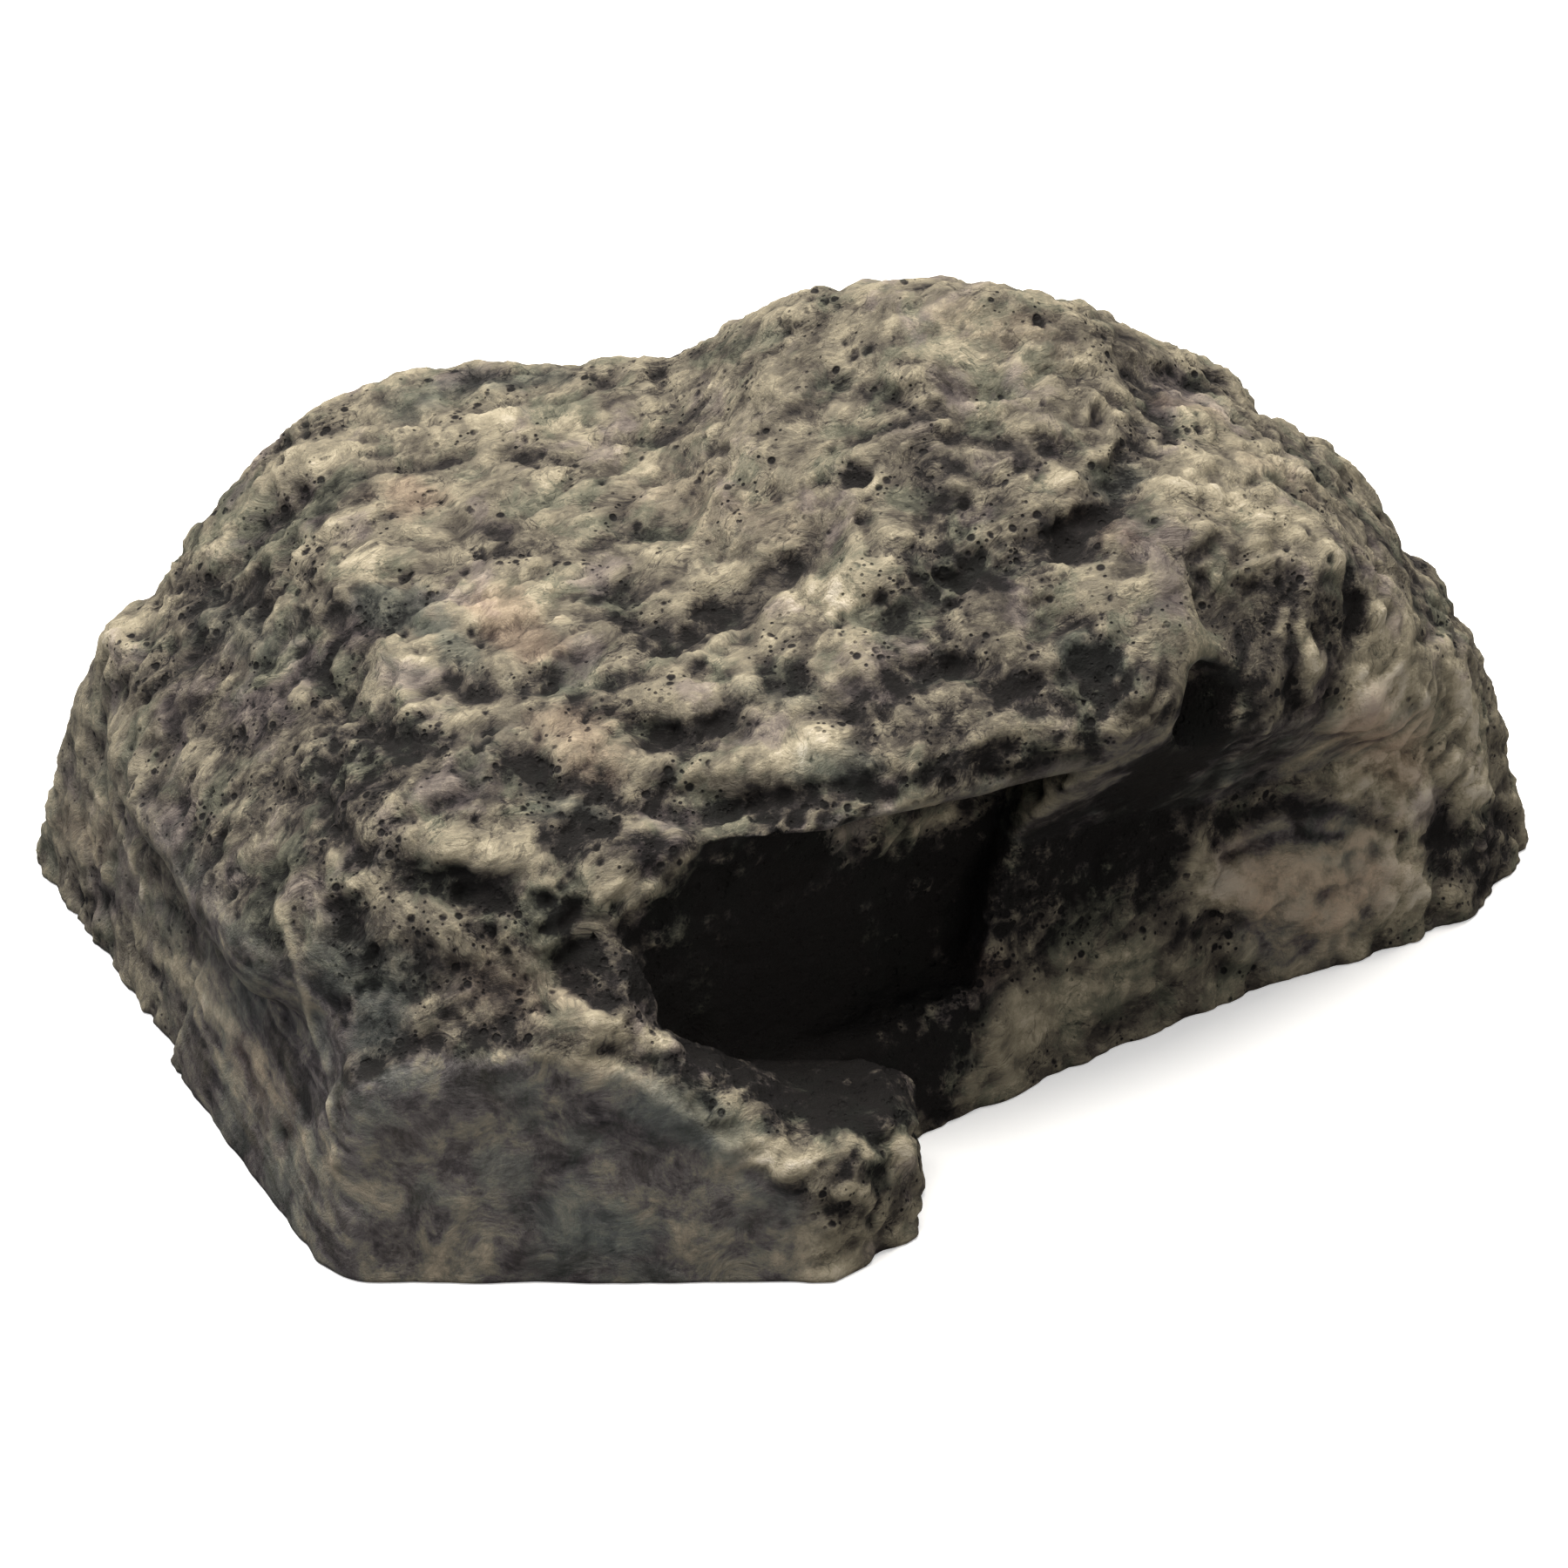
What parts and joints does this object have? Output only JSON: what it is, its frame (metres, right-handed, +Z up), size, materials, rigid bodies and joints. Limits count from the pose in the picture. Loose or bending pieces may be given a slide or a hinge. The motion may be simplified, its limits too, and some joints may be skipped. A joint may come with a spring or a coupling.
{
  "type": "hide a key rock",
  "caption": "Cast imitation rock with a lidded key compartment in its flat underside; the cover slides out along its rails under one end.",
  "frame": {"origin": "middle of the stone's outline, on the flat underside that it rests on", "axes": "+X along the stone's length, the way the cover slides out; +Z up, out of the ground; the pictured front looks toward -X and -Y"},
  "size_m": [0.093, 0.0738, 0.0433],
  "materials": {
    "cast_resin_stone": "cast filled resin, dark wash and dry-brushed highlights",
    "black_abs": "fine moulded texture",
    "cover_abs": "fine moulded texture, slightly polished ribs",
    "seal_rubber": "matt",
    "grey_foam": "closed-cell foam",
    "zinc_steel": "zinc plated"
  },
  "bodies": {
    "rock": {"rock_shell": "cast_resin_stone", "key_box": "black_abs", "mouth_seal": "seal_rubber", "foam_pad": "grey_foam", "rail_frame": "black_abs", "frame_screws": "zinc_steel"},
    "cover": {"slide_cover": "cover_abs"}
  },
  "joints": [
    {"name": "cover_slide", "type": "slide", "parent": "rock", "child": "cover", "axis": [1, 0, 0], "range_m": [0, 0.076]}
  ]
}
